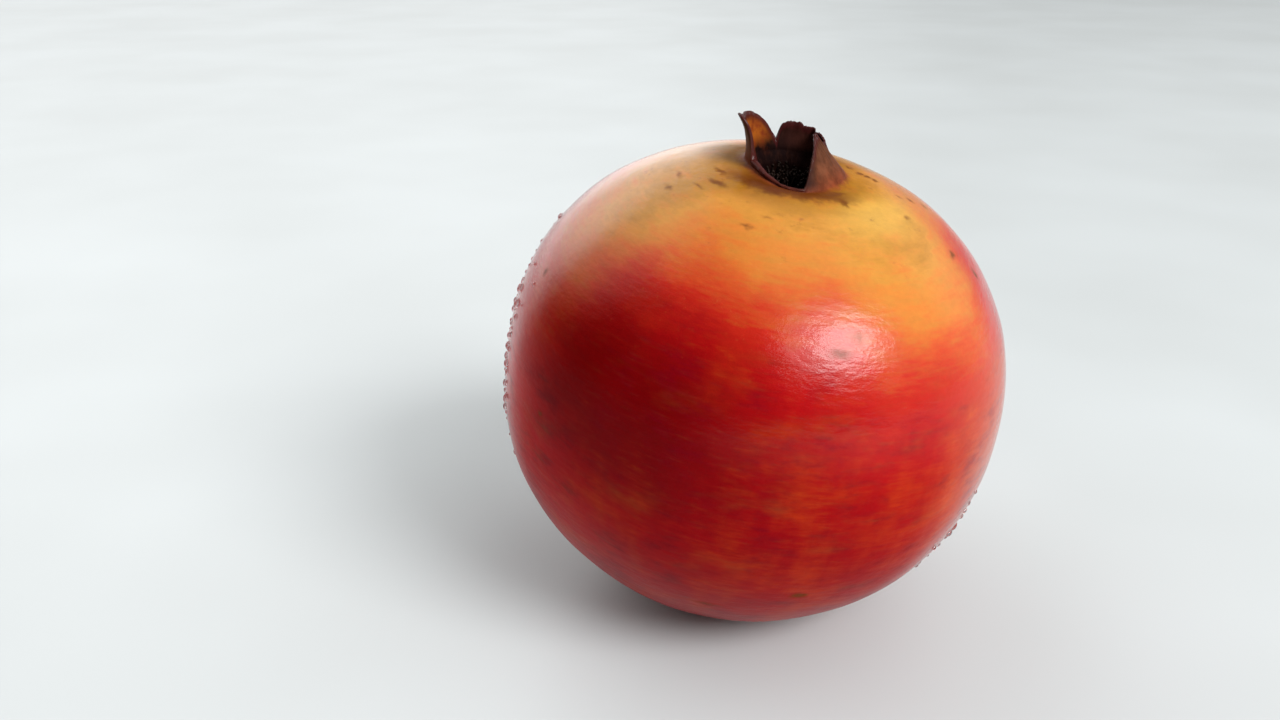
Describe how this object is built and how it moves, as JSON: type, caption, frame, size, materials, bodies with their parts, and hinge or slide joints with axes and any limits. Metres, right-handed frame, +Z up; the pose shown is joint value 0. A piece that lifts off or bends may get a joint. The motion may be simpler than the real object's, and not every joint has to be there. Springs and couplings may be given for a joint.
{
  "type": "pomegranate",
  "caption": "Whole ripe pomegranate standing on its own flattened spot, with an open dried crown on top and a clipped stem underneath.",
  "frame": {"origin": "middle of the fruit's base, on the surface it stands on: under the centre of its overall box", "axes": "+Z up; +X towards the side the crown leans to, +Y towards the back, so that the crown also leans a little to -Y, the front"},
  "size_m": [0.095, 0.0952, 0.095],
  "materials": {
    "rind": "glossy, wet",
    "stem_wood": "matt",
    "dried_stamen": "matt"
  },
  "bodies": {
    "root": {"fruit": "rind", "stem_stub": "stem_wood", "dried_stamens": "dried_stamen"}
  },
  "joints": []
}
